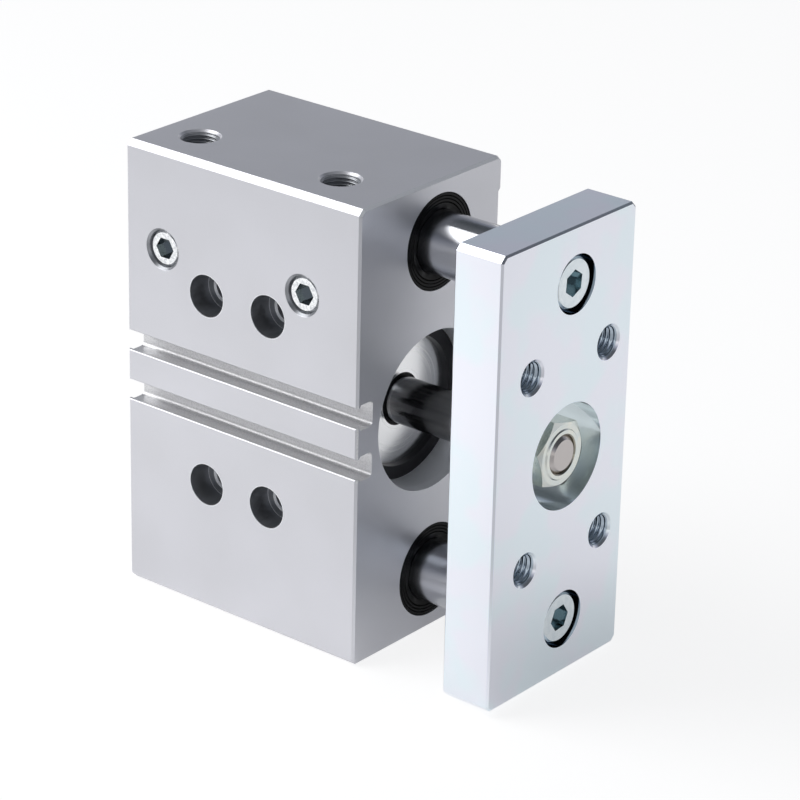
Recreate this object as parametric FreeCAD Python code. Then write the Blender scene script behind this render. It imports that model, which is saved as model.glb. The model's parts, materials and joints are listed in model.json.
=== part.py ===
"""Guided pneumatic cylinder, 40 mm bore and 25 mm stroke.

An extruded aluminium body holds a piston between two parallel guide rods.
The piston rod and both guide rods end in a steel yoke plate, which carries
the load. The body, its caps, bushings and seals stay put. The plate, the
three rods and the piston slide together along X.

Frame: +X is the way the plate moves out, +Z is up along the row of rods,
and -Y is the front face with the sensor slots. The origin is the centre of
the body's bottom face. The model stands with its rods fully out.
Lengths are in millimetres.
"""
import FreeCAD, Part
from math import cos, pi, sin
import os

V = FreeCAD.Vector

# ---- Motion and fits -------------------------------------------------------
stroke = 25.0
plate_gap = 2.3              # body to plate when the rods are fully in
running_gap = 0.05           # radial, at every sliding fit
piston_gap = 0.1             # radial, piston metal to bore
end_gap = 0.1                # cushion to cap at either end of the stroke
overrun = 1.0                # how far a cut is carried past a face

# ---- Rod and piston axes ---------------------------------------------------
guide_pitch = 88.0           # between the two guide rods
guide_axis_y = 3.0
piston_axis_y = 2.0

# ---- Body ------------------------------------------------------------------
body_depth = 54.0
body_height = 120.0
body_chamfer = 1.5           # four long edges of the extrusion
body_end_break = 0.6         # outline of both sawn ends
back_land_height = 8.7       # raised strip along the top and bottom of the back
back_relief = 0.7            # how far the back lies in between the strips
cylinder_bore = 40.0

# ---- Caps in the cylinder bore ---------------------------------------------
cap_diameter = 40.8
cap_flange = 5.0
cap_nose_diameter = 34.0
front_nose_length = 5.0
rear_nose_length = 5.4
front_cap_recess = 10.3      # end face to cap
rear_cap_recess = 4.0
cap_edge_round = 0.8
lead_in_diameter = 41.8      # mouth of the cap seat
lead_in_length = 2.0
oring_section = 1.8
oring_groove_depth = 1.45
oring_groove_width = 2.4

# ---- Circlips --------------------------------------------------------------
circlip_thickness = 1.75
circlip_groove_depth = 1.25
circlip_inner_diameter = 34.0
circlip_slack = 0.05         # each side of the ring in its groove
circlip_gap_angle = 34.0     # between the two ears
circlip_ear_radius = 3.0
circlip_ear_hole = 2.0

# ---- Piston rod, its bush and its seal -------------------------------------
piston_rod_diameter = 12.0
rod_stud_diameter = 10.0     # thread at the plate end
rod_stud_chamfer = 1.1
rod_stud_proud = 0.6         # beyond the nut's face
rod_spigot_diameter = 8.0    # thread at the piston end
rod_bush_wall = 1.0
rod_bush_length = 4.6
rod_seal_diameter = 19.0
rod_seal_width = 3.6
rod_lip_diameter = 13.7      # wiper collar that shows round the rod
rod_lip_length = 1.4

# ---- Piston ----------------------------------------------------------------
piston_length = 13.6
piston_seal_width = 2.6
piston_seal_depth = 3.0
seal_notch_depth = 1.4       # vee that opens a seal's pressure side
seal_notch_half = 0.5
piston_groove_wall = 1.0     # end face to the first groove
magnet_width = 4.0
magnet_thickness = 2.4
wear_ring_thickness = 1.6
piston_nut_flats = 13.0
piston_nut_height = 4.0
cushion_outer_diameter = 30.0
cushion_inner_diameter = 22.0
cushion_seat = 1.5           # depth in the piston's face
cushion_proud = 1.0

# ---- Guide rods and their bushings -----------------------------------------
guide_rod_diameter = 16.0
guide_rod_chamfer = 1.0
guide_rod_clearance = 1.0    # rod end to the body's rear face, rods fully in
bushing_diameter = 24.0
bushing_length = 42.0
bushing_rim = 1.2            # inward lip that keeps the cage in the shell
ball_diameter = 3.0
ball_row_count = 5
cage_wall_gap = 0.35         # cage to rod and to shell, radial
guide_outlet_diameter = 20.0 # bore behind the bushings
guide_seal_diameter = 24.8
guide_seal_recess = 6.0
guide_seal_set_back = 0.2    # seal face behind the end face
guide_seal_lip_start = 19.4  # where the face turns into the lip

# ---- Air ports -------------------------------------------------------------
port_diameter = 9.7          # G1/8
port_depth = 8.5
port_countersink = 10.9
port_offset = 3.1            # behind the shoulder of the rear cap
front_port_offset = 2.6      # behind the shoulder of the front cap
top_port_y = -13.2
front_port_rise = 34.0       # above the piston axis
air_drill = 3.5
plug_set_back = 0.9
plug_length = 6.0
plug_flats = 5.0
plug_socket_depth = 3.5
plug_chamfer = 0.75

# ---- Sensor slots ----------------------------------------------------------
slot_pitch = 13.5
slot_opening = 5.4
slot_edge_break = 0.2
slot_lip = 0.9
slot_flank = 0.4             # depth over which the slot widens
slot_width = 6.7
slot_depth = 5.8
slot_corner = 1.2

# ---- Mounting holes through the body ---------------------------------------
mount_first_x = 26.7         # from the rear face
mount_pitch_x = 20.0
mount_pitch_z = 51.0
mount_hole = 6.8
mount_head_diameter = 11.0
mount_head_depth = 7.0
mount_seat_chamfer = 0.5     # where the screw hole leaves the head's seat
mount_back_countersink = 8.6

# ---- Yoke plate ------------------------------------------------------------
plate_thickness = 14.0
plate_height = 117.5
plate_depth = 52.0
plate_corner = 1.5           # four edges along X
plate_edge_break = 0.5       # outline of both faces
plate_thread = 8.0           # four load holes
plate_thread_countersink = 9.2
plate_pitch_y = 30.0
plate_pitch_z = 50.0
guide_socket_depth = 1.0     # locates each guide rod in the plate's back

# ---- Screws and nut in the plate -------------------------------------------
screw_diameter = 8.0
screw_head_diameter = 13.0
screw_head_height = 8.0
screw_head_chamfer = 0.5
screw_flats = 6.0
screw_socket_depth = 4.0
screw_length = 16.0          # under the head
screw_set_back = 0.8
screw_head_bore = 15.0
nut_flats = 16.0
nut_height = 5.0
nut_set_back = 1.5
nut_collar_diameter = 13.0
nut_collar_height = 0.3
nut_countersink = 10.6
nut_bore = 27.2
socket_turns = (25.0, 5.0)   # upper and lower screw, as tightened
nut_turn = 46.0

# ---- Derived stations along X ----------------------------------------------
rear_stack = rear_cap_recess + cap_flange + rear_nose_length
front_stack = front_cap_recess + cap_flange + front_nose_length
piston_over_cushions = piston_length + 2 * cushion_proud
body_length = rear_stack + piston_over_cushions + stroke + 2 * end_gap + front_stack

axis_height = body_height / 2
front_port_z = axis_height + front_port_rise
rear_x = -body_length / 2
front_x = body_length / 2
front_y = -body_depth / 2
back_y = body_depth / 2
plate_back_x = front_x + plate_gap + stroke
plate_front_x = plate_back_x + plate_thickness

front_cap_x = front_x - front_cap_recess
front_shoulder_x = front_cap_x - cap_flange
front_nose_x = front_shoulder_x - front_nose_length
rear_cap_x = rear_x + rear_cap_recess
rear_shoulder_x = rear_cap_x + cap_flange

piston_front_x = front_nose_x - end_gap - cushion_proud
piston_rear_x = piston_front_x - piston_length

seal_seat_x = front_x - guide_seal_recess
bushing_end_x = seal_seat_x - bushing_length
guide_rod_front_x = plate_back_x + guide_socket_depth
guide_rod_rear_x = rear_x + guide_rod_clearance + stroke

rear_port_x = rear_shoulder_x + port_offset
front_port_x = front_shoulder_x - front_port_offset
mount_xs = (rear_x + mount_first_x, rear_x + mount_first_x + mount_pitch_x)
mount_zs = (axis_height - mount_pitch_z / 2, axis_height + mount_pitch_z / 2)

PISTON_AXIS = (piston_axis_y, axis_height)
UPPER_AXIS = (guide_axis_y, axis_height + guide_pitch / 2)
LOWER_AXIS = (guide_axis_y, axis_height - guide_pitch / 2)


# ---- Helpers ---------------------------------------------------------------
def turned(profile, axis):
    """A solid of revolution about a line along X; profile holds (x, radius)."""
    y, z = axis
    points = [V(x, y, z + r) for x, r in profile]
    face = Part.Face(Part.makePolygon(points + points[:1]))
    return face.revolve(V(0, y, z), V(1, 0, 0), 360)


def cylinder_x(x0, x1, diameter, axis):
    y, z = axis
    return Part.makeCylinder(diameter / 2, x1 - x0, V(x0, y, z), V(1, 0, 0))


def tube_x(x0, x1, outer, inner, axis):
    return turned([(x0, inner / 2), (x1, inner / 2), (x1, outer / 2), (x0, outer / 2)], axis)


def countersink_x(x, direction, wide, narrow, axis):
    """A 45 degree cone that opens at x towards direction (+1 or -1)."""
    depth = (wide - narrow) / 2
    return turned([(x, 0), (x, wide / 2), (x - direction * depth, narrow / 2),
                   (x - direction * depth, 0)], axis)


def hexagon_x(x0, x1, flats, axis, turn=0.0):
    """A hexagonal prism along X; turn is in degrees, from +Y towards +Z."""
    y, z = axis
    r = flats / 2 / cos(pi / 6)
    angles = [turn * pi / 180 + k * pi / 3 for k in range(6)]
    points = [V(x0, y + r * cos(a), z + r * sin(a)) for a in angles]
    return Part.Face(Part.makePolygon(points + points[:1])).extrude(V(x1 - x0, 0, 0))


def prism_x(x0, x1, outline, edge_break):
    """A bar along X of the given (y, z) outline, broken all round at both ends."""
    points = [V(x0, y, z) for y, z in outline]
    bar = Part.Face(Part.makePolygon(points + points[:1])).extrude(V(x1 - x0, 0, 0))
    ends = [e for e in bar.Edges if e.BoundBox.XLength < 1e-6]
    return bar.makeChamfer(edge_break, ends)


def one_solid(shape):
    assert len(shape.Solids) == 1, f"{len(shape.Solids)} solids"
    return shape.Solids[0]


# ---- Body ------------------------------------------------------------------
def sensor_slot(centre_z):
    """One full-length T-slot, open at the front face and at both ends."""
    a, b, r = slot_opening / 2, slot_width / 2, slot_corner
    wide = a + slot_edge_break
    y0 = front_y
    flank_y = y0 + slot_lip + slot_flank
    floor_y = y0 + slot_depth
    x = rear_x - overrun

    def p(y, z):
        return V(x, y, centre_z + z)

    def corner(side):
        middle = p(floor_y - r + r * sin(pi / 4), side * (b - r + r * sin(pi / 4)))
        ends = [p(floor_y - r, side * b), middle, p(floor_y, side * (b - r))]
        return Part.Arc(*(ends if side > 0 else ends[::-1])).toShape()

    def line(start, end):
        return Part.LineSegment(start, end).toShape()

    edges = [
        line(p(y0 - overrun, wide), p(y0, wide)),
        line(p(y0, wide), p(y0 + slot_edge_break, a)),
        line(p(y0 + slot_edge_break, a), p(y0 + slot_lip, a)),
        line(p(y0 + slot_lip, a), p(flank_y, b)),
        line(p(flank_y, b), p(floor_y - r, b)),
        corner(1),
        line(p(floor_y, b - r), p(floor_y, r - b)),
        corner(-1),
        line(p(floor_y - r, -b), p(flank_y, -b)),
        line(p(flank_y, -b), p(y0 + slot_lip, -a)),
        line(p(y0 + slot_lip, -a), p(y0 + slot_edge_break, -a)),
        line(p(y0 + slot_edge_break, -a), p(y0, -wide)),
        line(p(y0, -wide), p(y0 - overrun, -wide)),
        line(p(y0 - overrun, -wide), p(y0 - overrun, wide)),
    ]
    return Part.Face(Part.Wire(edges)).extrude(V(body_length + 2 * overrun, 0, 0))


def body_outline():
    """The extrusion's outer shape: chamfered corners, and a back relieved between two strips."""
    a, b, c, top = front_y, back_y, body_chamfer, body_height
    floor, lo, hi = b - back_relief, back_land_height, body_height - back_land_height
    return [(a + c, 0), (b - c, 0), (b, c), (b, lo), (floor, lo + back_relief),
            (floor, hi - back_relief), (b, hi), (b, top - c), (b - c, top), (a + c, top),
            (a, top - c), (a, c)]


def cylinder_cut():
    """The piston bore with a stepped cap seat, lead-in and circlip groove at each end."""
    bore, seat, mouth = cylinder_bore / 2, cap_diameter / 2, lead_in_diameter / 2
    groove = seat + circlip_groove_depth
    width = circlip_thickness + 2 * circlip_slack

    def end_profile(face, cap, shoulder, out):
        inner_side = cap - out * circlip_slack
        outer_side = inner_side + out * width
        return [(shoulder, bore), (shoulder, seat), (inner_side, seat), (inner_side, groove),
                (outer_side, groove), (outer_side, seat), (face - out * lead_in_length, seat),
                (face, mouth), (face + out * overrun, mouth)]

    rear = end_profile(rear_x, rear_cap_x, rear_shoulder_x, -1)
    front = end_profile(front_x, front_cap_x, front_shoulder_x, 1)
    ends = [(rear_x - overrun, 0)], [(front_x + overrun, 0)]
    return turned(ends[0] + rear[::-1] + front + ends[1], PISTON_AXIS)


def guide_cut(axis):
    outlet, seat, mouth = guide_outlet_diameter / 2, bushing_diameter / 2, guide_seal_diameter / 2
    x0, x1 = rear_x - overrun, front_x + overrun
    return turned([(x0, 0), (x0, outlet), (bushing_end_x, outlet), (bushing_end_x, seat),
                   (seal_seat_x, seat), (seal_seat_x, mouth), (x1, mouth), (x1, 0)], axis)


def drill(diameter, start, direction, length):
    return Part.makeCylinder(diameter / 2, length, start, direction)


def countersunk_hole(diameter, mouth, start, direction, length):
    """A blind hole from a face, with a 45 degree countersink at its mouth."""
    depth = (mouth - diameter) / 2
    cone = Part.makeCone(mouth / 2, diameter / 2, depth, start, direction)
    return drill(diameter, start, direction, length).fuse(cone)


def port_cuts(x):
    """One port on top and one on the front, joined by drillings to the bore."""
    down, back = V(0, 0, -1), V(0, 1, 0)
    top = V(x, top_port_y, body_height)
    front = V(x, front_y, front_port_z)
    return [
        countersunk_hole(port_diameter, port_countersink, top, down, port_depth),
        countersunk_hole(port_diameter, port_countersink, front, back, port_depth),
        drill(air_drill, top, down, body_height - axis_height - cylinder_bore / 4),
        drill(air_drill, front, back, top_port_y - front_y + air_drill / 2),
    ]


def mount_cut(x, z):
    """A screw hole through the body, counterbored in front and tapped at the back."""
    back = V(0, 1, 0)
    sink = (mount_back_countersink - mount_hole) / 2
    face = back_y - back_relief
    chamfer = mount_seat_chamfer
    return [
        drill(mount_hole, V(x, front_y, z), back, body_depth),
        drill(mount_head_diameter, V(x, front_y, z), back, mount_head_depth),
        Part.makeCone(mount_hole / 2 + chamfer, mount_hole / 2, chamfer,
                      V(x, front_y + mount_head_depth, z), back),
        Part.makeCone(mount_hole / 2, mount_back_countersink / 2, sink,
                      V(x, face - sink, z), back),
    ]


def housing():
    block = prism_x(rear_x, front_x, body_outline(), body_end_break)
    cuts = [cylinder_cut(), guide_cut(UPPER_AXIS), guide_cut(LOWER_AXIS)]
    cuts += [sensor_slot(axis_height + side * slot_pitch / 2) for side in (-1, 1)]
    for x in (rear_port_x, front_port_x):
        cuts += port_cuts(x)
    for x in mount_xs:
        for z in mount_zs:
            cuts += mount_cut(x, z)
    return one_solid(block.cut(cuts))


def port_plugs():
    """Two socket plugs that close the front ports."""
    plugs = []
    for x in (rear_port_x, front_port_x):
        start = V(x, front_y + plug_set_back, front_port_z)
        radius = port_diameter / 2
        body = Part.makeCylinder(radius, plug_length, start, V(0, 1, 0))
        edge = [e for e in body.Edges
                if len(e.Vertexes) == 1 and abs(e.Vertexes[0].Y - start.y) < 1e-6]
        body = body.makeChamfer(plug_chamfer, edge)
        r = plug_flats / 2 / cos(pi / 6)
        points = [V(x + r * cos(k * pi / 3), start.y, start.z + r * sin(k * pi / 3))
                  for k in range(6)]
        socket = Part.Face(Part.makePolygon(points + points[:1]))
        plugs.append(one_solid(body.cut(socket.extrude(V(0, plug_socket_depth, 0)))))
    return Part.makeCompound(plugs)


# ---- Caps, circlips and seals of the cylinder ------------------------------
def cap_blank(face_x, shoulder_x, nose_x):
    """Flange with an O-ring groove, then a narrower nose; the edge at the face is rounded off."""
    out = 1 if face_x > shoulder_x else -1
    r, nose = cap_diameter / 2, cap_nose_diameter / 2
    middle = (face_x + shoulder_x) / 2
    a, b = middle + out * oring_groove_width / 2, middle - out * oring_groove_width / 2
    groove = r - oring_groove_depth
    e = cap_edge_round
    points = [(face_x, 0), (face_x, r - e), (face_x - out * e, r), (a, r), (a, groove),
              (b, groove), (b, r), (shoulder_x, r), (shoulder_x, nose), (nose_x, nose),
              (nose_x, 0)]
    return turned(points, PISTON_AXIS)


def front_cap_stations():
    lip_end = front_cap_x - rod_lip_length
    seal_end = lip_end - rod_seal_width
    return lip_end, seal_end


def front_cap():
    lip_end, seal_end = front_cap_stations()
    bush = piston_rod_diameter / 2 + running_gap + rod_bush_wall
    lip, seal = rod_lip_diameter / 2, rod_seal_diameter / 2
    cut = turned([(front_cap_x, 0), (front_cap_x, lip), (lip_end, lip), (lip_end, seal),
                  (seal_end, seal), (seal_end, bush), (front_nose_x, bush),
                  (front_nose_x, 0)], PISTON_AXIS)
    return one_solid(cap_blank(front_cap_x, front_shoulder_x, front_nose_x).cut(cut))


def rod_bush():
    inner = piston_rod_diameter + 2 * running_gap
    return tube_x(front_nose_x, front_nose_x + rod_bush_length, inner + 2 * rod_bush_wall, inner,
                  PISTON_AXIS)


def rod_seal():
    """Pressure lip inside, wiper collar outside, in one moulding."""
    lip_end, seal_end = front_cap_stations()
    rod = piston_rod_diameter / 2 + running_gap
    lip, seal = rod_lip_diameter / 2, rod_seal_diameter / 2
    middle, half = (rod + seal) / 2, seal_notch_half
    return turned([(front_cap_x, rod), (front_cap_x, lip), (lip_end, lip), (lip_end, seal),
                   (seal_end, seal), (seal_end, middle + half),
                   (seal_end + seal_notch_depth, middle), (seal_end, middle - half),
                   (seal_end, rod)], PISTON_AXIS)


def cap_oring(middle):
    """Ring flattened between the groove floor and the cap seat."""
    outer = cap_diameter / 2
    height = oring_groove_depth
    width = oring_groove_width
    bulge = (width - height) / 2
    flat = (oring_section - height) / 2
    points = [(middle - bulge, outer - height), (middle + bulge, outer - height),
              (middle + width / 2 - flat, outer - height / 2), (middle + bulge, outer),
              (middle - bulge, outer), (middle - width / 2 + flat, outer - height / 2)]
    return turned(points, PISTON_AXIS)


def rear_cap():
    return cap_blank(rear_cap_x, rear_shoulder_x, rear_x + rear_stack)


def circlip(cap_x, out):
    """Internal circlip that holds a cap in; its ears point to the front (-Y)."""
    y, z = PISTON_AXIS
    x0 = cap_x if out > 0 else cap_x - circlip_thickness
    x1 = x0 + circlip_thickness
    outer = cap_diameter + 2 * circlip_groove_depth
    ring = tube_x(x0, x1, outer, circlip_inner_diameter, PISTON_AXIS)
    half = circlip_gap_angle / 2 * pi / 180
    reach = outer
    wedge = Part.Face(Part.makePolygon([V(x0, y, z), V(x0, y - reach, z - reach * sin(half)),
                                        V(x0, y - reach, z + reach * sin(half)), V(x0, y, z)]))
    ring = ring.cut(wedge.extrude(V(circlip_thickness, 0, 0)))
    turn = half + circlip_ear_radius / (circlip_inner_diameter / 2)
    for side in (-1, 1):
        centre = (y - circlip_inner_diameter / 2 * cos(turn),
                  z + side * circlip_inner_diameter / 2 * sin(turn))
        ring = ring.fuse(cylinder_x(x0, x1, 2 * circlip_ear_radius, centre))
        ring = ring.cut(cylinder_x(x0, x1, circlip_ear_hole, centre))
    return one_solid(ring.removeSplitter())


# ---- Guide bushings and seals ----------------------------------------------
def bushing_radii():
    balls_inner = guide_rod_diameter / 2 + running_gap
    balls_outer = balls_inner + ball_diameter
    return balls_inner, balls_outer, bushing_diameter / 2


def bushing_shell(axis):
    """Steel sleeve with an inward lip at each end."""
    balls_inner, bore, outer = bushing_radii()
    x0, x1 = bushing_end_x, seal_seat_x
    lip = balls_inner + cage_wall_gap
    rim = bushing_rim
    return turned([(x0, lip), (x0, outer), (x1, outer), (x1, lip), (x1 - rim, lip),
                   (x1 - rim, bore), (x0 + rim, bore), (x0 + rim, lip)], axis)


def ball_rows(axis):
    """The loaded rows of balls, each as one bar as thick as a ball."""
    y, z = axis
    r = bushing_radii()[0] + ball_diameter / 2
    inset = bushing_rim + ball_diameter
    bars = []
    for k in range(ball_row_count):
        angle = pi / 2 + 2 * pi * k / ball_row_count
        start = V(bushing_end_x + inset, y + r * cos(angle), z + r * sin(angle))
        bars.append(Part.makeCylinder(ball_diameter / 2, bushing_length - 2 * inset, start,
                                      V(1, 0, 0)))
    return Part.makeCompound(bars)


def ball_cage(axis):
    """Moulded cage with one open track per loaded row."""
    balls_inner, bore, _ = bushing_radii()
    blank = tube_x(bushing_end_x + bushing_rim, seal_seat_x - bushing_rim,
                   2 * (bore - cage_wall_gap), 2 * (balls_inner + cage_wall_gap), axis)
    return one_solid(blank.cut(ball_rows(axis)))


def guide_seal(axis):
    """Wiper seal with ridges on its face and a lip that runs on the rod."""
    face = front_x - guide_seal_set_back
    outer = guide_seal_diameter / 2
    start = guide_seal_lip_start / 2
    rod = guide_rod_diameter / 2 + running_gap
    ridges = 3
    step = (outer - 0.3 - start) / ridges
    groove = step / 3
    points = [(seal_seat_x, outer), (face - 0.3, outer), (face, outer - 0.3)]
    for k in range(ridges):
        r = outer - 0.3 - (k + 1) * step
        points += [(face, r + groove), (face - groove, r + groove / 2), (face, r)]
    points[-1] = (face, start)
    points += [(face - 1.6, rod + 0.5), (face - 2.2, rod), (face - 2.6, rod),
               (seal_seat_x + 0.8, start - 0.8), (seal_seat_x, start - 0.8)]
    return turned(points, axis)


# ---- Sliding parts ---------------------------------------------------------
def guide_rod(axis):
    """Ground rod, tapped at the plate end for its screw."""
    r, c = guide_rod_diameter / 2, guide_rod_chamfer
    rod = turned([(guide_rod_rear_x, 0), (guide_rod_rear_x, r - c), (guide_rod_rear_x + c, r),
                  (guide_rod_front_x, r), (guide_rod_front_x, 0)], axis)
    tip_x = plate_front_x - screw_set_back - screw_head_height - screw_length
    return one_solid(rod.cut(cylinder_x(tip_x - 1, guide_rod_front_x, screw_diameter, axis)))


def plate_outline():
    a, b, c = -plate_depth / 2, plate_depth / 2, plate_corner
    lo, hi = axis_height - plate_height / 2, axis_height + plate_height / 2
    return [(a + c, lo), (b - c, lo), (b, lo + c), (b, hi - c), (b - c, hi), (a + c, hi),
            (a, hi - c), (a, lo + c)]


def yoke_plate():
    """Plate with sockets for the rods, counterbores for screws and nut, and four threads."""
    block = prism_x(plate_back_x, plate_front_x, plate_outline(), plate_edge_break)
    x0, x1 = plate_back_x - 1, plate_front_x + 1
    cuts = []
    for axis in (UPPER_AXIS, LOWER_AXIS):
        head_seat = plate_front_x - screw_set_back - screw_head_height
        cuts += [cylinder_x(x0, x1, screw_diameter, axis),
                 cylinder_x(head_seat, x1, screw_head_bore, axis),
                 cylinder_x(x0, guide_rod_front_x, guide_rod_diameter, axis)]
    nut_seat = plate_front_x - nut_set_back - nut_height
    cuts += [cylinder_x(x0, x1, rod_stud_diameter, PISTON_AXIS),
             cylinder_x(nut_seat, x1, nut_bore, PISTON_AXIS)]
    for side_y in (-1, 1):
        for side_z in (-1, 1):
            axis = (piston_axis_y + side_y * plate_pitch_y / 2,
                    axis_height + side_z * plate_pitch_z / 2)
            cuts += [cylinder_x(x0, x1, plate_thread, axis),
                     countersink_x(plate_front_x, 1, plate_thread_countersink, plate_thread, axis),
                     countersink_x(plate_back_x, -1, plate_thread_countersink, plate_thread, axis)]
    return one_solid(block.cut(cuts))


def guide_screws():
    """Socket head cap screws that hold the plate on the guide rods."""
    screws = []
    for axis, turn in zip((UPPER_AXIS, LOWER_AXIS), socket_turns):
        top = plate_front_x - screw_set_back
        seat = top - screw_head_height
        r, head, c = screw_diameter / 2, screw_head_diameter / 2, screw_head_chamfer
        screw = turned([(seat - screw_length, 0), (seat - screw_length, r - c),
                        (seat - screw_length + c, r), (seat, r), (seat, head), (top - c, head),
                        (top, head - c), (top, 0)], axis)
        socket = hexagon_x(top - screw_socket_depth, top + 1, screw_flats, axis, turn)
        screws.append(one_solid(screw.cut(socket)))
    return Part.makeCompound(screws)


def piston_rod():
    """Rod with a thread at each end: a stud through the plate and one through the piston."""
    r, stud, c = piston_rod_diameter / 2, rod_stud_diameter / 2, rod_stud_chamfer
    spigot = rod_spigot_diameter / 2
    end = plate_front_x - nut_set_back + rod_stud_proud
    return turned([(piston_rear_x, 0), (piston_rear_x, spigot), (piston_front_x, spigot),
                   (piston_front_x, r), (plate_back_x, r), (plate_back_x, stud),
                   (end - c, stud), (end, stud - c), (end, 0)], PISTON_AXIS)


def rod_nut():
    """Thin nut with chamfered corners and a low collar round its thread."""
    face = plate_front_x - nut_set_back
    seat = face - nut_height
    collar = face + nut_collar_height
    corner = nut_flats / 2 / cos(pi / 6)
    flat, drop = nut_flats / 2 * 0.97, (corner - nut_flats / 2) * 0.58
    blank = turned([(seat, 0), (seat, corner), (face - drop, corner), (face, flat),
                    (face, nut_collar_diameter / 2), (collar, nut_collar_diameter / 2 - 0.3),
                    (collar, 0)], PISTON_AXIS)
    nut = hexagon_x(seat, collar, nut_flats, PISTON_AXIS, nut_turn).common(blank)
    bore = cylinder_x(seat, collar, rod_stud_diameter, PISTON_AXIS)
    sink = countersink_x(collar, 1, nut_countersink, rod_stud_diameter, PISTON_AXIS)
    return one_solid(nut.cut([bore, sink]))


def piston_stations():
    """Rear ends of the rear seal, the magnet and the front seal."""
    rear_seal = piston_rear_x + piston_groove_wall
    magnet = (piston_rear_x + piston_front_x - magnet_width) / 2
    front_seal = piston_front_x - piston_groove_wall - piston_seal_width
    return rear_seal, magnet, front_seal


def piston():
    """Disc with two seal grooves, a middle groove, cushion seats and a nut recess."""
    metal = cylinder_bore / 2 - piston_gap
    floor = cylinder_bore / 2 - running_gap - piston_seal_depth
    middle_floor = cylinder_bore / 2 - running_gap - wear_ring_thickness - magnet_thickness
    rear_seal, magnet, front_seal = piston_stations()
    x0, x1 = piston_rear_x, piston_front_x
    points = [(x0, 0), (x0, metal)]
    for start, width, depth in ((rear_seal, piston_seal_width, floor),
                                (magnet, magnet_width, middle_floor),
                                (front_seal, piston_seal_width, floor)):
        points += [(start, metal), (start, depth), (start + width, depth), (start + width, metal)]
    points += [(x1, metal), (x1, 0)]
    blank = turned(points, PISTON_AXIS)
    recess = piston_nut_flats / cos(pi / 6) + 1
    cuts = [cylinder_x(x0, x1, rod_spigot_diameter, PISTON_AXIS),
            cylinder_x(x0 - 1, x0 + piston_nut_height, recess, PISTON_AXIS)]
    for a, b in ((x0, x0 + cushion_seat), (x1 - cushion_seat, x1)):
        cuts.append(tube_x(a, b, cushion_outer_diameter, cushion_inner_diameter, PISTON_AXIS))
    return one_solid(blank.cut(cuts))


def piston_nut():
    x0 = piston_rear_x
    nut = hexagon_x(x0, x0 + piston_nut_height, piston_nut_flats, PISTON_AXIS)
    return one_solid(nut.cut(cylinder_x(x0, x0 + piston_nut_height, rod_spigot_diameter,
                                          PISTON_AXIS)))


def piston_seal(base_x, out):
    """Lip seal on the piston; out is +1 or -1, the way its pressure side faces."""
    outer = cylinder_bore / 2 - running_gap
    inner = outer - piston_seal_depth
    middle, half = (outer + inner) / 2, seal_notch_half
    lip_x = base_x + out * piston_seal_width
    return turned([(base_x, inner), (lip_x, inner), (lip_x, middle - half),
                   (lip_x - out * seal_notch_depth, middle), (lip_x, middle + half),
                   (lip_x, outer), (base_x, outer)], PISTON_AXIS)


def piston_magnet():
    x0 = piston_stations()[1]
    outer = cylinder_bore - 2 * (running_gap + wear_ring_thickness)
    return tube_x(x0, x0 + magnet_width, outer, outer - 2 * magnet_thickness, PISTON_AXIS)


def wear_ring():
    x0 = piston_stations()[1]
    outer = cylinder_bore - 2 * running_gap
    return tube_x(x0, x0 + magnet_width, outer, outer - 2 * wear_ring_thickness, PISTON_AXIS)


def cushion(front):
    thickness = cushion_seat + cushion_proud
    x0 = piston_front_x - cushion_seat if front else piston_rear_x - cushion_proud
    return tube_x(x0, x0 + thickness, cushion_outer_diameter, cushion_inner_diameter, PISTON_AXIS)


# ---- Nodes -----------------------------------------------------------------
def nodes():
    front_oring = front_cap_x - cap_flange / 2
    rear_oring = rear_cap_x + cap_flange / 2
    rear_seal, _, front_seal = piston_stations()
    shapes = {
        "housing": housing(),
        "port_plugs": port_plugs(),
        "front_cap": front_cap(),
        "rod_bush": rod_bush(),
        "rod_seal": rod_seal(),
        "front_cap_oring": cap_oring(front_oring),
        "front_circlip": circlip(front_cap_x, 1),
        "rear_cap": rear_cap(),
        "rear_cap_oring": cap_oring(rear_oring),
        "rear_circlip": circlip(rear_cap_x, -1),
        "yoke_plate": yoke_plate(),
        "guide_screws": guide_screws(),
        "piston_rod": piston_rod(),
        "rod_nut": rod_nut(),
        "piston": piston(),
        "piston_nut": piston_nut(),
        "piston_seal_front": piston_seal(front_seal, 1),
        "piston_seal_rear": piston_seal(rear_seal + piston_seal_width, -1),
        "piston_magnet": piston_magnet(),
        "piston_wear_ring": wear_ring(),
        "cushion_front": cushion(True),
        "cushion_rear": cushion(False),
    }
    for side, axis in (("upper", UPPER_AXIS), ("lower", LOWER_AXIS)):
        shapes[f"{side}_guide_rod"] = guide_rod(axis)
        shapes[f"{side}_guide_seal"] = guide_seal(axis)
        shapes[f"{side}_bushing_shell"] = bushing_shell(axis)
        shapes[f"{side}_ball_cage"] = ball_cage(axis)
        shapes[f"{side}_ball_rows"] = ball_rows(axis)
    return shapes


os.makedirs("parts", exist_ok=True)
for name, shape in nodes().items():
    assert shape.isValid(), name
    shape.exportStep(f"parts/{name}.step")
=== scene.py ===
"""Guided pneumatic cylinder: finishes, thread turns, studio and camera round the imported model.

The body is a clear anodised extrusion, the yoke plate is zinc plated, the rods are hard chromed,
and the seals are black rubber. Every size is in metres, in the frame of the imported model: +X is
the way the plate moves out, +Z is up and -Y is the front face with the sensor slots.
"""
import json
from math import cos, pi, radians, sin

import bpy
import numpy as np
from mathutils import Matrix, Vector


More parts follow.
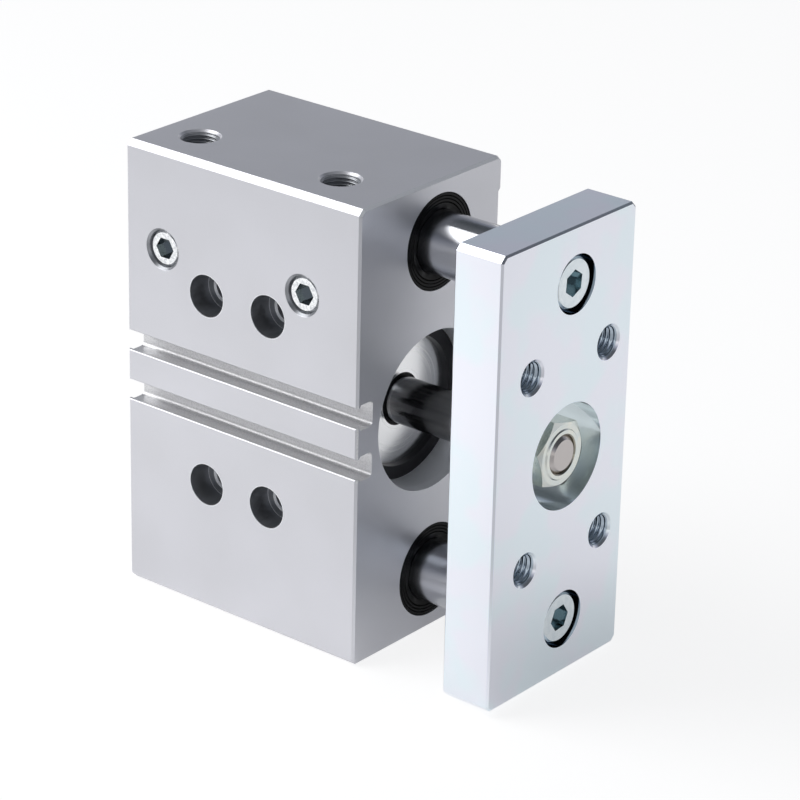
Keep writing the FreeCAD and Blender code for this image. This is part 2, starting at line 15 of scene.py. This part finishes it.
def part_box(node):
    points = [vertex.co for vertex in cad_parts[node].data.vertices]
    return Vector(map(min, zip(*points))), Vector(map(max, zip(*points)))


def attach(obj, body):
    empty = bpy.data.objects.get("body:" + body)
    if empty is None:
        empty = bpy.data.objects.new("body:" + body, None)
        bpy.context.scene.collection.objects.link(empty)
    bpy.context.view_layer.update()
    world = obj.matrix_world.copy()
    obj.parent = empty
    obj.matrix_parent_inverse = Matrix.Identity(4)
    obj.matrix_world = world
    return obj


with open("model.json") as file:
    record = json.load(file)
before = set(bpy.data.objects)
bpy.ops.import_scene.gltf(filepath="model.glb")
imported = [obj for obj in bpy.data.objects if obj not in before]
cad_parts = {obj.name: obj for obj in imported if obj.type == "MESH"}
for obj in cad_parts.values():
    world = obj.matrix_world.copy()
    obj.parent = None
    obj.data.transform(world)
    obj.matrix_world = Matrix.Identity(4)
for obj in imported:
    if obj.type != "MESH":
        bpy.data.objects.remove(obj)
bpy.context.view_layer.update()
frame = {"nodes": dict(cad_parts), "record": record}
MM = 0.001

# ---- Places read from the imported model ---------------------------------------
body_low, body_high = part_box("housing")
plate_low, plate_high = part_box("yoke_plate")
rod_low, rod_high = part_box("piston_rod")
upper_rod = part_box("upper_guide_rod")
lower_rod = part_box("lower_guide_rod")
plug_low, plug_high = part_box("port_plugs")
nut_low, nut_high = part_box("rod_nut")
screw_low, screw_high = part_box("guide_screws")

rod_y = (rod_low.y + rod_high.y) / 2
rod_z = (rod_low.z + rod_high.z) / 2
guide_y = (upper_rod[0].y + upper_rod[1].y) / 2
guide_half_pitch = (upper_rod[0].z - lower_rod[0].z) / 2
port_radius = 4.85 * MM
plug_xs = (plug_low.x + port_radius, plug_high.x - port_radius)
plug_z = (plug_low.z + plug_high.z) / 2

# ---- Sizes of what is made here -----------------------------------------------
load_thread_pitch_y = 30 * MM      # the plate's four threads, about the piston rod
load_thread_pitch_z = 50 * MM
load_thread_radius = 4.0 * MM
load_thread_lead = 1.25 * MM
countersink_depth = 0.6 * MM
port_lead = 0.907 * MM
port_y = -13.2 * MM
port_depth = 8.5 * MM
seat_gap = 0.02 * MM               # between a thread sleeve and its hole
sleeve_wall = 0.02 * MM            # at the roots of its turns
thread_height = 0.54               # of the lead
fade_length = 0.6                  # of the lead, at both ends of a thread
lip_setback = 0.2 * MM             # scraper lips, behind the body's end face
lip_width = 1.5 * MM

# ---- Bores whose walls and bottoms have their own finish; some carry painted shade, some rims a painted highlight ---
screw_bore_radius = 7.5 * MM       # plate, round the guide rods' screws
nut_bore_radius = 13.6 * MM        # plate, round the rod nut
screw_socket_radius = 3.5 * MM
plug_socket_radius = 2.95 * MM
nut_mouth_radius = 5.3 * MM
mount_x = -1.05 * MM               # middle of the body's four screw holes
mount_half_x, mount_half_z = 10 * MM, 25.5 * MM
mount_head_radius = 5.5 * MM
mount_head_depth = 7.6 * MM
mount_seat = 7 * MM                # below the front face
port_reach = 9 * MM                # from a face to the end of a port
mouth_radius = 20.9 * MM           # body, round the front cap
mouth_depth = 10 * MM
slots_reach = 10.3 * MM            # sensor slots, above and below the piston rod's axis
slots_depth = 6 * MM
# The light tone on these cut edges is partly a painted highlight.
edge_width = 0.62 * MM             # cut edges of the body's sawn ends
edge_height = 1.6 * MM
past_face = 1 * MM                 # how far a patch starts outside its face
skin = 0.05 * MM                   # a patch stops this far below the face round it


# ---- Node helpers ---------------------------------------------------------------
def new_material(name):
    """An empty node material with an output; returns it with its tree and surface socket."""
    material = bpy.data.materials.new(name)
    material.use_nodes = True
    tree = material.node_tree
    tree.nodes.clear()
    output = tree.nodes.new("ShaderNodeOutputMaterial")
    return material, tree, output.inputs["Surface"]


def node(tree, kind, settings=(), **inputs):
    """Adds a node; an input is a value or another node's output socket."""
    made = tree.nodes.new(kind)
    for key, value in dict(settings).items():
        setattr(made, key, value)
    for key, value in inputs.items():
        socket = made.inputs[int(key[1:]) if key[0] == "i" and key[1:].isdigit()
                             else key.replace("_", " ")]
        if isinstance(value, bpy.types.NodeSocket):
            tree.links.new(value, socket)
        else:
            socket.default_value = value
    return made


def object_place(tree, scale=(1, 1, 1)):
    """Object coordinates in metres, stretched by scale along each axis."""
    where = node(tree, "ShaderNodeTexCoord").outputs["Object"]
    return node(tree, "ShaderNodeMapping", {"vector_type": "POINT"}, Vector=where,
                Scale=scale).outputs["Vector"]


def grain(tree, size, detail=2.0, stretch=(1, 1, 1)):
    """Noise whose features are about size metres across, drawn out along each axis by stretch."""
    place = object_place(tree, tuple(1 / s for s in stretch))
    return node(tree, "ShaderNodeTexNoise", Vector=place, Scale=1 / size,
                Detail=detail).outputs["Fac"]


def span(tree, value, low, high, start=0.0, end=1.0):
    """Carries value from low..high to start..end, held at both ends."""
    return node(tree, "ShaderNodeMapRange", {"clamp": True}, Value=value, From_Min=low,
                From_Max=high, To_Min=start, To_Max=end).outputs["Result"]


def blend_colours(tree, amount, first, second):
    """first where amount is 0, second where it is 1, and mixed between."""
    mix = tree.nodes.new("ShaderNodeMix")
    mix.data_type = "RGBA"
    for socket, value in ((mix.inputs[0], amount), (mix.inputs[6], first),
                          (mix.inputs[7], second)):
        if isinstance(value, bpy.types.NodeSocket):
            tree.links.new(value, socket)
        else:
            socket.default_value = value
    return mix.outputs[2]


def relief(tree, height, depth):
    """Normals for a fine relief: height from 0 to 1 stands depth metres high."""
    return node(tree, "ShaderNodeBump", Height=height, Distance=depth,
                Strength=1.0).outputs["Normal"]


def arithmetic(tree, operation, first, second=0.0):
    """One sum of two numbers or sockets."""
    return node(tree, "ShaderNodeMath", {"operation": operation}, i0=first,
                i1=second).outputs[0]


def along(tree, place, direction):
    """How far place lies along direction: their dot product."""
    return node(tree, "ShaderNodeVectorMath", {"operation": "DOT_PRODUCT"}, i0=place,
                i1=direction).outputs["Value"]


def object_axes(tree):
    """The x, y and z of the place on the object."""
    return node(tree, "ShaderNodeSeparateXYZ",
                Vector=node(tree, "ShaderNodeTexCoord").outputs["Object"]).outputs


def between(tree, axis, low, high):
    """1 where the place along axis is between low and high, and 0 elsewhere."""
    place = object_axes(tree)[axis]
    return arithmetic(tree, "MULTIPLY", arithmetic(tree, "GREATER_THAN", place, low),
                      arithmetic(tree, "LESS_THAN", place, high))


def bores(tree, axis, centre, half_pitch, radius, low, high):
    """1 in the bores that run along axis from low to high, and 0 elsewhere.

    Their axes stand at centre plus and minus half_pitch in the other two directions, so the
    distance from the nearest is that of the folded place |place - centre| - half_pitch."""
    parts = object_axes(tree)
    across = [parts[k] for k in range(3) if k != axis]
    squares = []
    for place, middle, half in zip(across, centre, half_pitch):
        folded = arithmetic(tree, "SUBTRACT", arithmetic(
            tree, "ABSOLUTE", arithmetic(tree, "SUBTRACT", place, middle)), half)
        squares.append(arithmetic(tree, "MULTIPLY", folded, folded))
    near = arithmetic(tree, "LESS_THAN", arithmetic(tree, "ADD", *squares),
                      (radius + skin) ** 2)
    return arithmetic(tree, "MULTIPLY", near, between(tree, axis, low, high))


def either(tree, *masks):
    """1 where any of the masks is."""
    whole = masks[0]
    for mask in masks[1:]:
        whole = arithmetic(tree, "MAXIMUM", whole, mask)
    return whole


def mix_numbers(tree, amount, first, second):
    """first where amount is 0 and second where it is 1."""
    return node(tree, "ShaderNodeMix", {"data_type": "FLOAT"}, i0=amount, i2=first,
                i3=second).outputs[0]


def metal(name, light, dark, roughness, grain_size, depth, stretch=(1, 1, 1), metallic=1.0,
          drift=0.03, drift_stretch=(1, 1, 1), clouds=(0.35, 0.65), specular=0.5,
          patches=None):
    """Metal with two close tones that drift over the surface, and a fine grain in its relief
    and its roughness. patches(tree) lists where another finish is, each with its tone, its
    roughness and how metallic it is."""
    material, tree, surface = new_material(name)
    tone = blend_colours(tree, span(tree, grain(tree, drift, 2.0, drift_stretch), *clouds),
                         (*dark, 1), (*light, 1))
    fine = grain(tree, grain_size, 3.0, stretch)
    rough = span(tree, fine, 0.3, 0.7, roughness[0], roughness[1])
    for where, other_tone, other_rough, other_metallic in patches(tree) if patches else ():
        tone = blend_colours(tree, where, tone, (*other_tone, 1))
        rough = mix_numbers(tree, where, rough, other_rough)
        metallic = mix_numbers(tree, where, metallic, other_metallic)
    shader = node(tree, "ShaderNodeBsdfPrincipled", Base_Color=tone, Metallic=metallic,
                  Roughness=rough, Specular_IOR_Level=specular,
                  Normal=relief(tree, fine, depth))
    tree.links.new(shader.outputs["BSDF"], surface)
    return material


# ---- Finishes -------------------------------------------------------------------
# Light tone of bare cut metal, partly a painted highlight on the edges, rims, seats and mouth.
CUT_EDGE_AND_HIGHLIGHT = ((0.86, 0.87, 0.89), 0.4, 0.35)     # tone, roughness, how metallic


def body_patches(tree):
    """Drawn sensor slots with a speckled grain; turned screw holes and port threads in a darker
    tone that is partly painted shade; light cut edges, partly painted highlight, on the sawn
    ends' tops, the mouth, and the screw holes' rims and seats."""
    front, mounts = body_low.y, ((mount_x, rod_z), (mount_half_x, mount_half_z))
    heads = bores(tree, 1, *mounts, mount_head_radius, front + 0.1 * MM,
                  front + mount_head_depth)
    plugged = (bores(tree, 1, (x, plug_z), (0, 0), port_radius + 0.6 * MM, front + skin,
                     front + port_reach) for x in plug_xs)
    opened = (bores(tree, 2, (x, port_y), (0, 0), port_radius, body_high.z - port_reach,
                    body_high.z - 0.3 * MM) for x in plug_xs)
    threads = either(tree, *plugged, *opened)
    rims = arithmetic(
        tree, "MULTIPLY",
        bores(tree, 1, *mounts, mount_head_radius + 0.2 * MM, front - past_face,
              front + mount_seat + 0.5 * MM),
        either(tree, between(tree, 1, front - past_face, front + 0.2 * MM),
               between(tree, 1, front + mount_seat - 0.25 * MM, front + mount_seat - 0.02 * MM),
               between(tree, 1, front + mount_seat + 0.02 * MM,
                       front + mount_seat + 0.5 * MM)))
    mouth = bores(tree, 0, (rod_y, rod_z), (0, 0), mouth_radius, body_high.x - mouth_depth,
                  body_high.x + past_face)
    inset = 0.015 * MM
    ends = arithmetic(
        tree, "MULTIPLY", between(tree, 2, body_high.z - edge_height, body_high.z),
        either(tree, between(tree, 0, body_high.x - edge_width, body_high.x - inset),
               between(tree, 0, body_low.x + inset, body_low.x + edge_width)))
    inset = 0.02 * MM
    slots = arithmetic(
        tree, "MULTIPLY",
        arithmetic(tree, "MULTIPLY", between(tree, 1, front + 0.25 * MM, front + slots_depth),
                   between(tree, 2, rod_z - slots_reach, rod_z + slots_reach)),
        between(tree, 0, body_low.x + inset, body_high.x - inset))
    specks = arithmetic(tree, "MULTIPLY", slots,
                        span(tree, grain(tree, 0.45 * MM, 4.0), 0.46, 0.60))
    return ((slots, (0.72, 0.72, 0.73), 0.38, 0.68),
            (specks, (0.62, 0.62, 0.63), 0.38, 0.68),
            # Darker tone in the screw holes and port threads: partly painted shade in these
            # recesses.
            (either(tree, heads, threads), (0.33, 0.34, 0.36), 0.34, 0.85),
            # Cut edges, rims, seats and mouth: light cut-metal tone, partly painted highlight.
            (either(tree, rims, mouth, ends), *CUT_EDGE_AND_HIGHLIGHT))


def anodised_body():
    """Blasted and clear anodised: even silver with a very fine grain."""
    return metal("anodised_body", (0.66, 0.66, 0.695), (0.63, 0.63, 0.66), (0.36, 0.44),
                 0.35 * MM, 0.010 * MM, metallic=0.8, patches=body_patches)


def plate_patches(tree):
    """A glossier, darker tone in the holes of the screws and threads, partly painted shade, and
    the teal plating in the recess round the nut."""
    back, face = plate_low.x, plate_high.x - skin
    recess = bores(tree, 0, (rod_y, rod_z), (0, 0), nut_bore_radius, back, face)
    holes = either(
        tree,
        bores(tree, 0, (guide_y, rod_z), (0, guide_half_pitch), screw_bore_radius, back, face),
        bores(tree, 0, (rod_y, rod_z), (load_thread_pitch_y / 2, load_thread_pitch_z / 2),
              load_thread_radius, back, face))
    # The holes' darker tone is partly painted shade.
    return ((holes, (0.46, 0.53, 0.60), 0.05, 1.0),
            (recess, (0.86, 0.91, 0.92), 0.10, 0.9))


def zinc_plate():
    """Bright zinc over ground steel: smooth, with faint blue and lilac clouds."""
    return metal("zinc_plate", (0.80, 0.81, 0.87), (0.76, 0.83, 0.87), (0.18, 0.23),
                 0.5 * MM, 0.0006 * MM, drift=16 * MM, clouds=(0.42, 0.56),
                 patches=plate_patches)


def ground_chrome():
    """Hard chrome ground in fine rings round X, which draw its highlights out along the rod."""
    material = metal("ground_chrome", (0.60, 0.61, 0.64), (0.54, 0.55, 0.58), (0.14, 0.19),
                     0.4 * MM, 0.0010 * MM, (0.15, 8, 8))
    tree = material.node_tree
    shader = tree.nodes["Principled BSDF"]
    shader.inputs["Anisotropic"].default_value = 0.8
    shader.inputs["Anisotropic Rotation"].default_value = 0.25
    rings = node(tree, "ShaderNodeTangent", {"direction_type": "RADIAL", "axis": "X"})
    tree.links.new(rings.outputs[0], shader.inputs["Tangent"])
    return material


def piston_rod_chrome_painted_shade():
    """Chrome in a darker tone that is painted shade and painted reflection, faintly streaked
    along the rod; its thread's end in the nut is bare.
    """
    # The darker tones and the streaks along the rod are painted shade and painted reflection.
    return metal("piston_rod_chrome_painted_shade", (0.36, 0.355, 0.355), (0.27, 0.27, 0.275), (0.10, 0.22),
                 0.6 * MM, 0.0010 * MM, (12, 1, 1), drift=2.5 * MM, drift_stretch=(9, 1, 1),
                 patches=lambda tree: ((between(tree, 0, plate_low.x + 4 * MM, plate_high.x),
                                        (0.52, 0.485, 0.47), 0.25, 1.0),))


def screw_zinc():
    """White zinc on the guide rods' screws; their sockets are dark and glossy, partly painted
    shade.
    """
    def sockets(tree):
        # Darker socket tone: partly painted shade in the hex sockets.
        return ((bores(tree, 0, (guide_y, rod_z), (0, guide_half_pitch), screw_socket_radius,
                       screw_low.x, screw_high.x - 0.03 * MM), (0.48, 0.57, 0.60), 0.06, 1.0),)
    return metal("screw_zinc", (0.74, 0.79, 0.81), (0.66, 0.72, 0.75), (0.16, 0.26),
                 0.3 * MM, 0.004 * MM, drift=2 * MM, patches=sockets)


def plug_zinc():
    """White zinc on the port plugs, with the same dark sockets, partly painted shade."""
    def sockets(tree):
        # Darker socket tone: partly painted shade in the hex sockets.
        return ((either(tree, *(bores(tree, 1, (x, plug_z), (0, 0), plug_socket_radius,
                                      plug_low.y + 0.03 * MM, plug_high.y) for x in plug_xs)),
                 (0.40, 0.43, 0.44), 0.08, 1.0),)
    return metal("plug_zinc", (0.88, 0.89, 0.89), (0.58, 0.59, 0.61), (0.14, 0.30),
                 0.3 * MM, 0.006 * MM, drift=0.9 * MM, patches=sockets)


def nut_zinc():
    """Ivory zinc on the rod nut, dark down its thread, partly painted shade."""
    def thread(tree):
        # Darker tone down the thread: partly painted shade in the bore.
        return ((bores(tree, 0, (rod_y, rod_z), (0, 0), nut_mouth_radius, nut_low.x,
                       nut_high.x - skin), (0.36, 0.34, 0.28), 0.15, 1.0),)
    return metal("nut_zinc", (0.73, 0.74, 0.68), (0.65, 0.69, 0.67), (0.18, 0.28),
                 0.3 * MM, 0.004 * MM, drift=3 * MM, patches=thread)


def turned_metal(name, light, dark, depth):
    """Turned aluminium: faint rings round the piston rod's axis, by noise of the radius."""
    material, tree, surface = new_material(name)
    parts = object_axes(tree)
    squares = [arithmetic(tree, "MULTIPLY", place, place) for place in
               (arithmetic(tree, "SUBTRACT", parts[1], rod_y),
                arithmetic(tree, "SUBTRACT", parts[2], rod_z))]
    radius = arithmetic(tree, "SQRT", arithmetic(tree, "ADD", *squares))
    rings = node(tree, "ShaderNodeTexNoise", {"noise_dimensions": "1D"}, W=radius,
                 Scale=1 / (0.5 * MM), Detail=3.0).outputs["Fac"]
    shader = node(tree, "ShaderNodeBsdfPrincipled", Metallic=1.0,
                  Base_Color=blend_colours(tree, span(tree, rings, 0.3, 0.7),
                                           (*dark, 1), (*light, 1)),
                  Roughness=span(tree, rings, 0.3, 0.7, 0.18, 0.28),
                  Normal=relief(tree, rings, depth))
    tree.links.new(shader.outputs["BSDF"], surface)
    return material


def bright_cap():
    return turned_metal("bright_cap", (0.88, 0.88, 0.88), (0.80, 0.80, 0.81), 0.0015 * MM)


def rear_cap_turning():
    return turned_metal("rear_cap_turning", (0.72, 0.72, 0.74), (0.55, 0.55, 0.57), 0.005 * MM)


def dark_spring_steel():
    return metal("dark_spring_steel", (0.035, 0.035, 0.04), (0.02, 0.02, 0.022), (0.35, 0.5),
                 0.25 * MM, 0.01 * MM, metallic=0.6)


def ground_steel():
    return metal("ground_steel", (0.56, 0.57, 0.58), (0.48, 0.49, 0.50), (0.18, 0.3),
                 0.3 * MM, 0.004 * MM)


def bronze():
    return metal("bronze", (0.50, 0.33, 0.17), (0.42, 0.27, 0.13), (0.35, 0.5), 0.2 * MM,
                 0.01 * MM)


def black_rubber():
    """Moulded rubber: near black with a faint sheen and a fine pebble."""
    return metal("black_rubber", (0.004, 0.004, 0.0045), (0.002, 0.002, 0.0025), (0.26, 0.40),
                 0.3 * MM, 0.010 * MM, metallic=0.0, specular=0.10)


def dark_resin():
    return metal("dark_resin", (0.10, 0.10, 0.11), (0.06, 0.06, 0.07), (0.4, 0.55), 0.3 * MM,
                 0.01 * MM, metallic=0.0)


FINISHES = {
    "body_aluminium": anodised_body, "plate_steel": zinc_plate, "rod_chrome": ground_chrome,
    "fastener_steel": screw_zinc, "circlip_steel": dark_spring_steel,
    "seal_rubber": black_rubber, "bearing_steel": ground_steel, "cage_resin": dark_resin,
    "bush_bronze": bronze, "cap_aluminium": bright_cap, "piston_aluminium": bright_cap,
    "magnet": dark_resin,
}
NODE_FINISHES = {"port_plugs": plug_zinc, "rod_nut": nut_zinc, "rear_cap": rear_cap_turning,
                 "piston_rod": piston_rod_chrome_painted_shade}


def dress_nodes():
    """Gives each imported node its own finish, or that of its slot."""
    made = {}
    for part in frame["record"]["subparts"]:
        maker = NODE_FINISHES.get(part["node"], FINISHES[part["material_slot"]])
        if maker not in made:
            made[maker] = maker()
        for place in frame["nodes"][part["node"]].material_slots:
            place.material = made[maker]
    return {maker.__name__: material for maker, material in made.items()}


# ---- Surfaces --------------------------------------------------------------------
def closed_grid(name, points, material, body):
    """A mesh from an (n, m, 3) grid that closes on itself both ways: vertex (i, j) joins
    (i+1, j) and (i, j+1), each counted round its own ring."""
    n, m = points.shape[:2]
    i, j = np.meshgrid(np.arange(n), np.arange(m), indexing="ij")
    k, l = (i + 1) % n, (j + 1) % m
    faces = np.stack([i * m + j, k * m + j, k * m + l, i * m + l], axis=-1).reshape(-1, 4)
    mesh = bpy.data.meshes.new(name)
    mesh.from_pydata(points.reshape(-1, 3), [], faces)
    mesh.update()
    mesh.shade_smooth()
    mesh.materials.append(material)
    piece = bpy.data.objects.new(name, mesh)
    bpy.context.scene.collection.objects.link(piece)
    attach(piece, body)
    return piece


def thread_sleeve(name, mouth, direction, radius, length, lead, material, body,
                  around=48, per_turn=8):
    """The turns of an inside thread, as a thin sleeve in its plain hole.

    The wall is a ring section carried round the hole. At angle a and depth d its inner radius is
    the hole's radius less the thread's height times a triangle wave of d / lead - a / (2 pi);
    its outer radius is the hole's own. The wave fades in over the first turn."""
    inward = Vector(direction).normalized()
    side = inward.orthogonal().normalized()
    up = inward.cross(side)
    height = thread_height * lead
    turns = length / lead
    depth = np.linspace(0, length, int(turns * per_turn) + 1)
    angle = np.linspace(0, 2 * pi, around, endpoint=False)
    d, a = np.meshgrid(depth, angle)
    phase = d / lead - a / (2 * pi)
    wave = 1 - np.abs(2 * (phase - np.floor(phase)) - 1)
    fade = np.clip(np.minimum(d, length - d) / (fade_length * lead), 0, 1)
    outer = radius - seat_gap
    inner = outer - sleeve_wall - height * np.clip(1.25 * wave, 0, 1) * fade
    ring_r = np.concatenate([inner, np.full_like(inner, outer)[:, ::-1]], axis=1)
    ring_d = np.concatenate([d, d[:, ::-1]], axis=1)
    ring_a = np.concatenate([a, a[:, ::-1]], axis=1)
    points = (np.array(mouth)[None, None, :] + ring_d[..., None] * np.array(inward)
              + (ring_r * np.cos(ring_a))[..., None] * np.array(side)
              + (ring_r * np.sin(ring_a))[..., None] * np.array(up))
    return closed_grid(name, points, material, body)


def plate_threads(finish):
    """Four load threads through the yoke plate."""
    length = plate_high.x - plate_low.x - 2 * countersink_depth
    count = 0
    for side_z in (1, -1):
        for side_y in (-1, 1):
            count += 1
            mouth = (plate_high.x - countersink_depth, rod_y + side_y * load_thread_pitch_y / 2,
                     rod_z + side_z * load_thread_pitch_z / 2)
            thread_sleeve(f"load_thread_{count}", mouth, (-1, 0, 0), load_thread_radius, length,
                          load_thread_lead, finish["zinc_plate"], "sliding_unit")


def port_threads(finish):
    """The threads of both open ports on the body's top."""
    for place, x in zip(("rear", "front"), plug_xs):
        mouth = (x, port_y, body_high.z - countersink_depth)
        thread_sleeve(f"{place}_port_thread", mouth, (0, 0, -1), port_radius,
                      port_depth - countersink_depth - 0.05 * MM, port_lead,
                      finish["anodised_body"], "cylinder_body")


def scraper_lip(name, axis_z, finish):
    """The wrinkled lip that closes a guide seal's mouth round its rod.

    A closed ring section is carried round the rod. Its front goes from the seal's face down to
    the rod and is moved along X by two waves of the angle, which grow towards the rod."""
    face = body_high.x - lip_setback
    rod_radius = (upper_rod[1].z - upper_rod[0].z) / 2
    # along X and out from the rod, in millimetres
    profile = np.array([(-0.04, 1.64), (-0.16, 1.48), (-0.12, 1.25), (-0.30, 1.05),
                        (-0.24, 0.80), (-0.40, 0.60), (-0.34, 0.36), (-0.45, 0.16),
                        (-0.55, 0.04), (-0.90, 0.04), (-0.90, 0.60), (-0.55, 1.40),
                        (-0.30, 1.62)]) * MM
    around = 180
    angle = np.linspace(0, 2 * pi, around, endpoint=False)[:, None]
    depth, out = profile[:, 0][None, :], profile[:, 1][None, :]
    near = np.clip(1 - out / lip_width, 0, 1)
    depth = depth + near * (0.10 * np.sin(7 * angle) + 0.06 * np.sin(16 * angle + 1)) * MM
    radius = rod_radius + out + 0 * angle
    points = np.stack([face + depth, guide_y + radius * np.cos(angle),
                       axis_z + radius * np.sin(angle)], axis=-1)
    closed_grid(name, points, finish["black_rubber"], "cylinder_body")


# ---- Studio -----------------------------------------------------------------------
FRONT_LEFT = (-0.627, -0.779, 0.0)
FRONT_RIGHT = (0.78, -0.63, 0.0)
REAR_LEFT = (-0.627, 0.779, 0.0)
WHITE = (1, 1, 1, 1)


def grey(tone):
    return (tone, tone, tone, 1)


def studio_floor():
    """A white floor that keeps the shadow.

    For camera, glossy and transmission rays it adds its own light to what it scatters, so it
    shows white. Reflections find it dimmer far out to the front right, far ahead of the front
    face, close behind the plate, where the dimming is a painted shadow of the plate, and at the
    rear left, where it scatters less too."""
    material, tree, surface = new_material("floor_white")
    rays = node(tree, "ShaderNodeLightPath").outputs
    straight = rays["Is Camera Ray"]
    seen = either(tree, straight, rays["Is Glossy Ray"], rays["Is Transmission Ray"])
    place = node(tree, "ShaderNodeTexCoord").outputs["Object"]
    x, y = object_axes(tree)[:2]
    ahead = along(tree, place, FRONT_LEFT)
    from_plate = node(tree, "ShaderNodeVectorMath", {"operation": "DISTANCE"}, i0=place,
                      i1=(0.055, 0.012, 0.0)).outputs["Value"]
    # Painted shadow: reflections see the floor dimmer next to the plate, where its shadow falls.
    behind_plate = arithmetic(tree, "MULTIPLY", span(tree, y, -0.035, -0.015),
                              span(tree, from_plate, 0.015, 0.075, 0.45, 0.0))
    rear_left = arithmetic(tree, "MULTIPLY",
                           span(tree, along(tree, place, REAR_LEFT), 0.03, 0.09),
                           span(tree, x, 0.03, 0.07, 1.0, 0.0))
    reflected = span(tree, along(tree, place, FRONT_RIGHT), 0.07, 0.16, 1.0, 0.32)
    for share in (span(tree, ahead, 0.05, 0.15, 0.58, 0.69),
                  span(tree, ahead, 0.17, 0.30, 1.0, 0.88),
                  span(tree, ahead, 0.45, 0.75, 1.0, 0.20),
                  span(tree, rear_left, 0.0, 1.0, 1.0, 0.12),
                  arithmetic(tree, "SUBTRACT", 1.0, behind_plate)):
        reflected = arithmetic(tree, "MULTIPLY", reflected, share)
    own_light = arithmetic(tree, "MULTIPLY", seen,
                           mix_numbers(tree, straight, reflected, 0.82))
    glow = node(tree, "ShaderNodeEmission", Color=WHITE, Strength=own_light)
    bounced = blend_colours(tree, rear_left, grey(0.76), grey(0.40))
    matt = node(tree, "ShaderNodeBsdfDiffuse",
                Color=blend_colours(tree, straight, bounced, grey(0.30)))
    both = node(tree, "ShaderNodeAddShader", i0=glow.outputs[0], i1=matt.outputs[0])
    tree.links.new(both.outputs[0], surface)

    half = 3.0
    corners = [(-half, -half, 0), (half, -half, 0), (half, half, 0), (-half, half, 0)]
    mesh = bpy.data.meshes.new("floor")
    mesh.from_pydata(corners, [], [(0, 1, 2, 3)])
    mesh.materials.append(material)
    floor = bpy.data.objects.new("floor", mesh)
    bpy.context.scene.collection.objects.link(floor)


def surround():
    """A world that is white along the horizon and dims upwards, with a bright window over a dark
    horizon ahead of the front face. It is all white for the camera."""
    world = bpy.data.worlds.new("surround")
    world.use_nodes = True
    tree = world.node_tree
    tree.nodes.clear()
    towards = node(tree, "ShaderNodeTexCoord").outputs["Generated"]
    height = node(tree, "ShaderNodeSeparateXYZ", Vector=towards).outputs["Z"]
    facing = span(tree, along(tree, towards, FRONT_LEFT), 0.70, 0.86)
    window = arithmetic(tree, "MULTIPLY", span(tree, height, 0.08, 0.14),
                        span(tree, height, 0.50, 0.60, 1.0, 0.0))
    window = arithmetic(tree, "MULTIPLY", facing, window)
    horizon = arithmetic(tree, "MULTIPLY", facing, span(tree, height, 0.03, 0.08, 1.0, 0.0))
    sky = WHITE
    for where, colour in ((span(tree, height, 0.10, 0.38), (0.36, 0.385, 0.455, 1)),
                          (span(tree, height, 0.42, 0.56), (0.08, 0.09, 0.10, 1)),
                          (span(tree, height, 0.72, 0.95), (0.30, 0.31, 0.33, 1)),
                          (window, (1.4, 1.4, 1.42, 1)),
                          (horizon, (0.10, 0.10, 0.11, 1)),
                          (node(tree, "ShaderNodeLightPath").outputs["Is Camera Ray"], WHITE)):
        sky = blend_colours(tree, where, sky, colour)
    background = node(tree, "ShaderNodeBackground", Color=sky, Strength=1.0)
    output = tree.nodes.new("ShaderNodeOutputWorld")
    tree.links.new(background.outputs[0], output.inputs["Surface"])
    bpy.context.scene.world = world


def softbox(name, place, target, size, power):
    """A square area lamp at place, turned to target."""
    data = bpy.data.lights.new(name, "AREA")
    data.shape, data.size, data.energy = "SQUARE", size, power
    lamp = bpy.data.objects.new(name, data)
    lamp.location = place
    lamp.rotation_euler = (Vector(target) - Vector(place)).to_track_quat("-Z", "Y").to_euler()
    bpy.context.scene.collection.objects.link(lamp)


def lamps():
    """One large softbox, up and to the left of the front face."""
    middle = Vector((0.02, 0.0, 0.06))
    towards = Vector((-0.5757, -0.398, 0.714))
    distance, size, power = 0.85, 0.6, 3.6
    softbox("key_box", middle + distance * towards, middle, size, power)


def camera():
    """A long lens, set by its bearing, height and tilt, its aim and its distance."""
    azimuth, elevation, tilt = radians(38.870), radians(23.461), radians(1.3254)
    aim = Vector((0, 0, (body_low.z + body_high.z) / 2))
    across, above, distance = 22.416 * MM, -7.112 * MM, 879.963 * MM
    right = Vector((cos(azimuth), sin(azimuth), 0))
    back = Vector((sin(azimuth) * cos(elevation), -cos(azimuth) * cos(elevation),
                   sin(elevation)))
    up = back.cross(right)
    side = right * cos(tilt) + up * sin(tilt)
    top = up * cos(tilt) - right * sin(tilt)
    data = bpy.data.cameras.new("camera")
    data.sensor_width = 36
    data.lens = 157.078
    data.clip_start = 0.01
    seen_from = bpy.data.objects.new("camera", data)
    place = aim + side * across + top * above + back * distance
    axes = Matrix((side, top, back)).transposed()
    seen_from.matrix_world = Matrix.Translation(place) @ axes.to_4x4()
    bpy.context.scene.collection.objects.link(seen_from)
    bpy.context.scene.camera = seen_from


# ---- The scene ----------------------------------------------------------------------
finish = dress_nodes()
plate_threads(finish)
port_threads(finish)
scraper_lip("upper_scraper_lip", rod_z + guide_half_pitch, finish)
scraper_lip("lower_scraper_lip", rod_z - guide_half_pitch, finish)
studio_floor()
surround()
lamps()
camera()
bpy.context.scene.view_settings.view_transform = "Standard"
